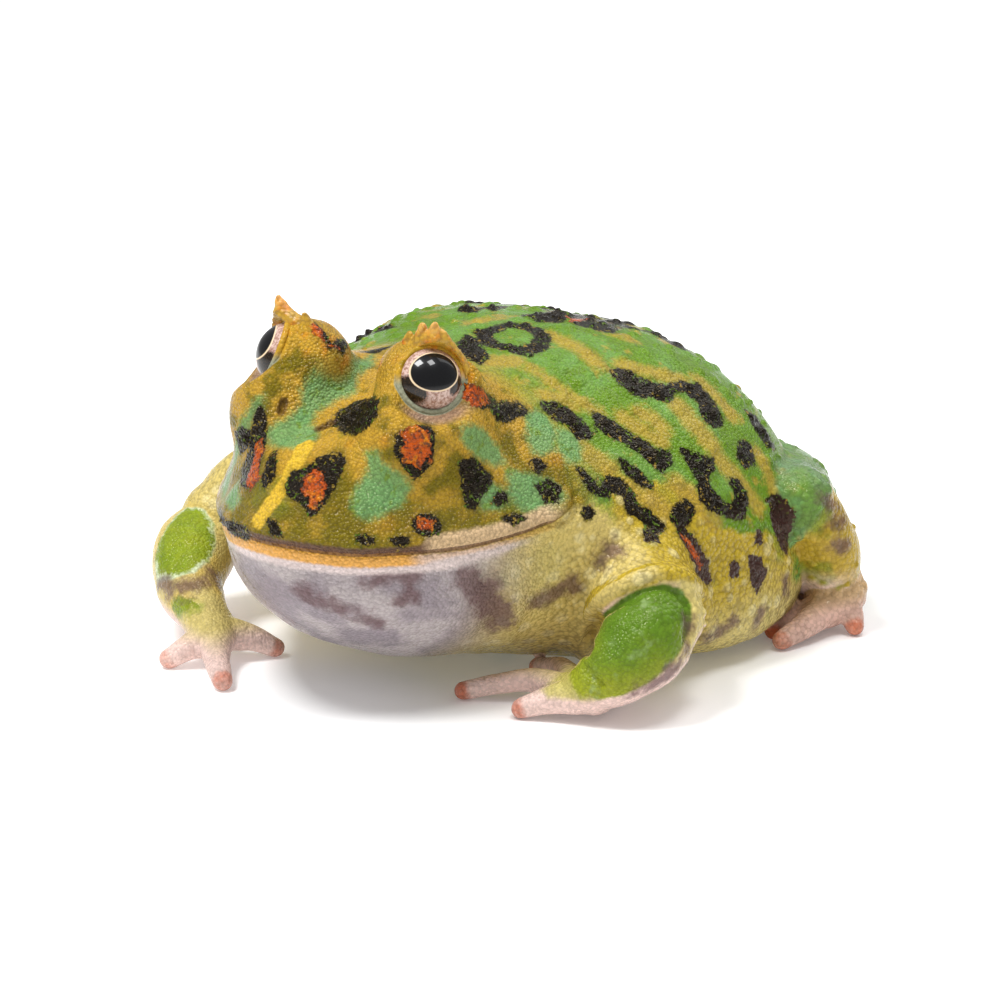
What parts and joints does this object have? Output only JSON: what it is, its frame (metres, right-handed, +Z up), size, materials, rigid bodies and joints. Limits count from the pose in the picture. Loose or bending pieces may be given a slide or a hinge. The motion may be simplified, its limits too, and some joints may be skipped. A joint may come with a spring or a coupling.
{
  "type": "cranwell's horned frog",
  "caption": "Still, life-size model of a sitting Cranwell's horned frog with its head raised, a wide closed mouth, bulging eyes under pointed horns, a round body and folded legs.",
  "frame": {"origin": "on the floor, under the middle of the frog's bounding box", "axes": "+Z up, the snout towards -Y, the frog's own left side towards +X"},
  "size_m": [0.1058, 0.1042, 0.059],
  "materials": {
    "skin_back": "wet granular skin, green with tan, yellow, red-brown and near-black markings",
    "skin_belly": "pale lilac-grey throat skin with purple-brown spots",
    "skin_arm": "smooth bright green to olive skin",
    "skin_hand": "pale pink skin with orange tips",
    "eye": "clear wet eye with a black oval pupil and a pale pink iris",
    "horn": "tan and orange granular skin"
  },
  "bodies": {
    "root": {"head": "skin_back", "lower_jaw": "skin_belly", "torso": "skin_back", "left_eye": "eye", "left_horn": "horn", "left_upper_arm": "skin_arm", "left_forearm": "skin_arm", "left_hand": "skin_hand", "left_thigh": "skin_arm", "left_shank": "skin_arm", "left_foot": "skin_hand", "right_eye": "eye", "right_horn": "horn", "right_upper_arm": "skin_arm", "right_forearm": "skin_arm", "right_hand": "skin_hand", "right_thigh": "skin_arm", "right_shank": "skin_arm", "right_foot": "skin_hand"}
  },
  "joints": []
}
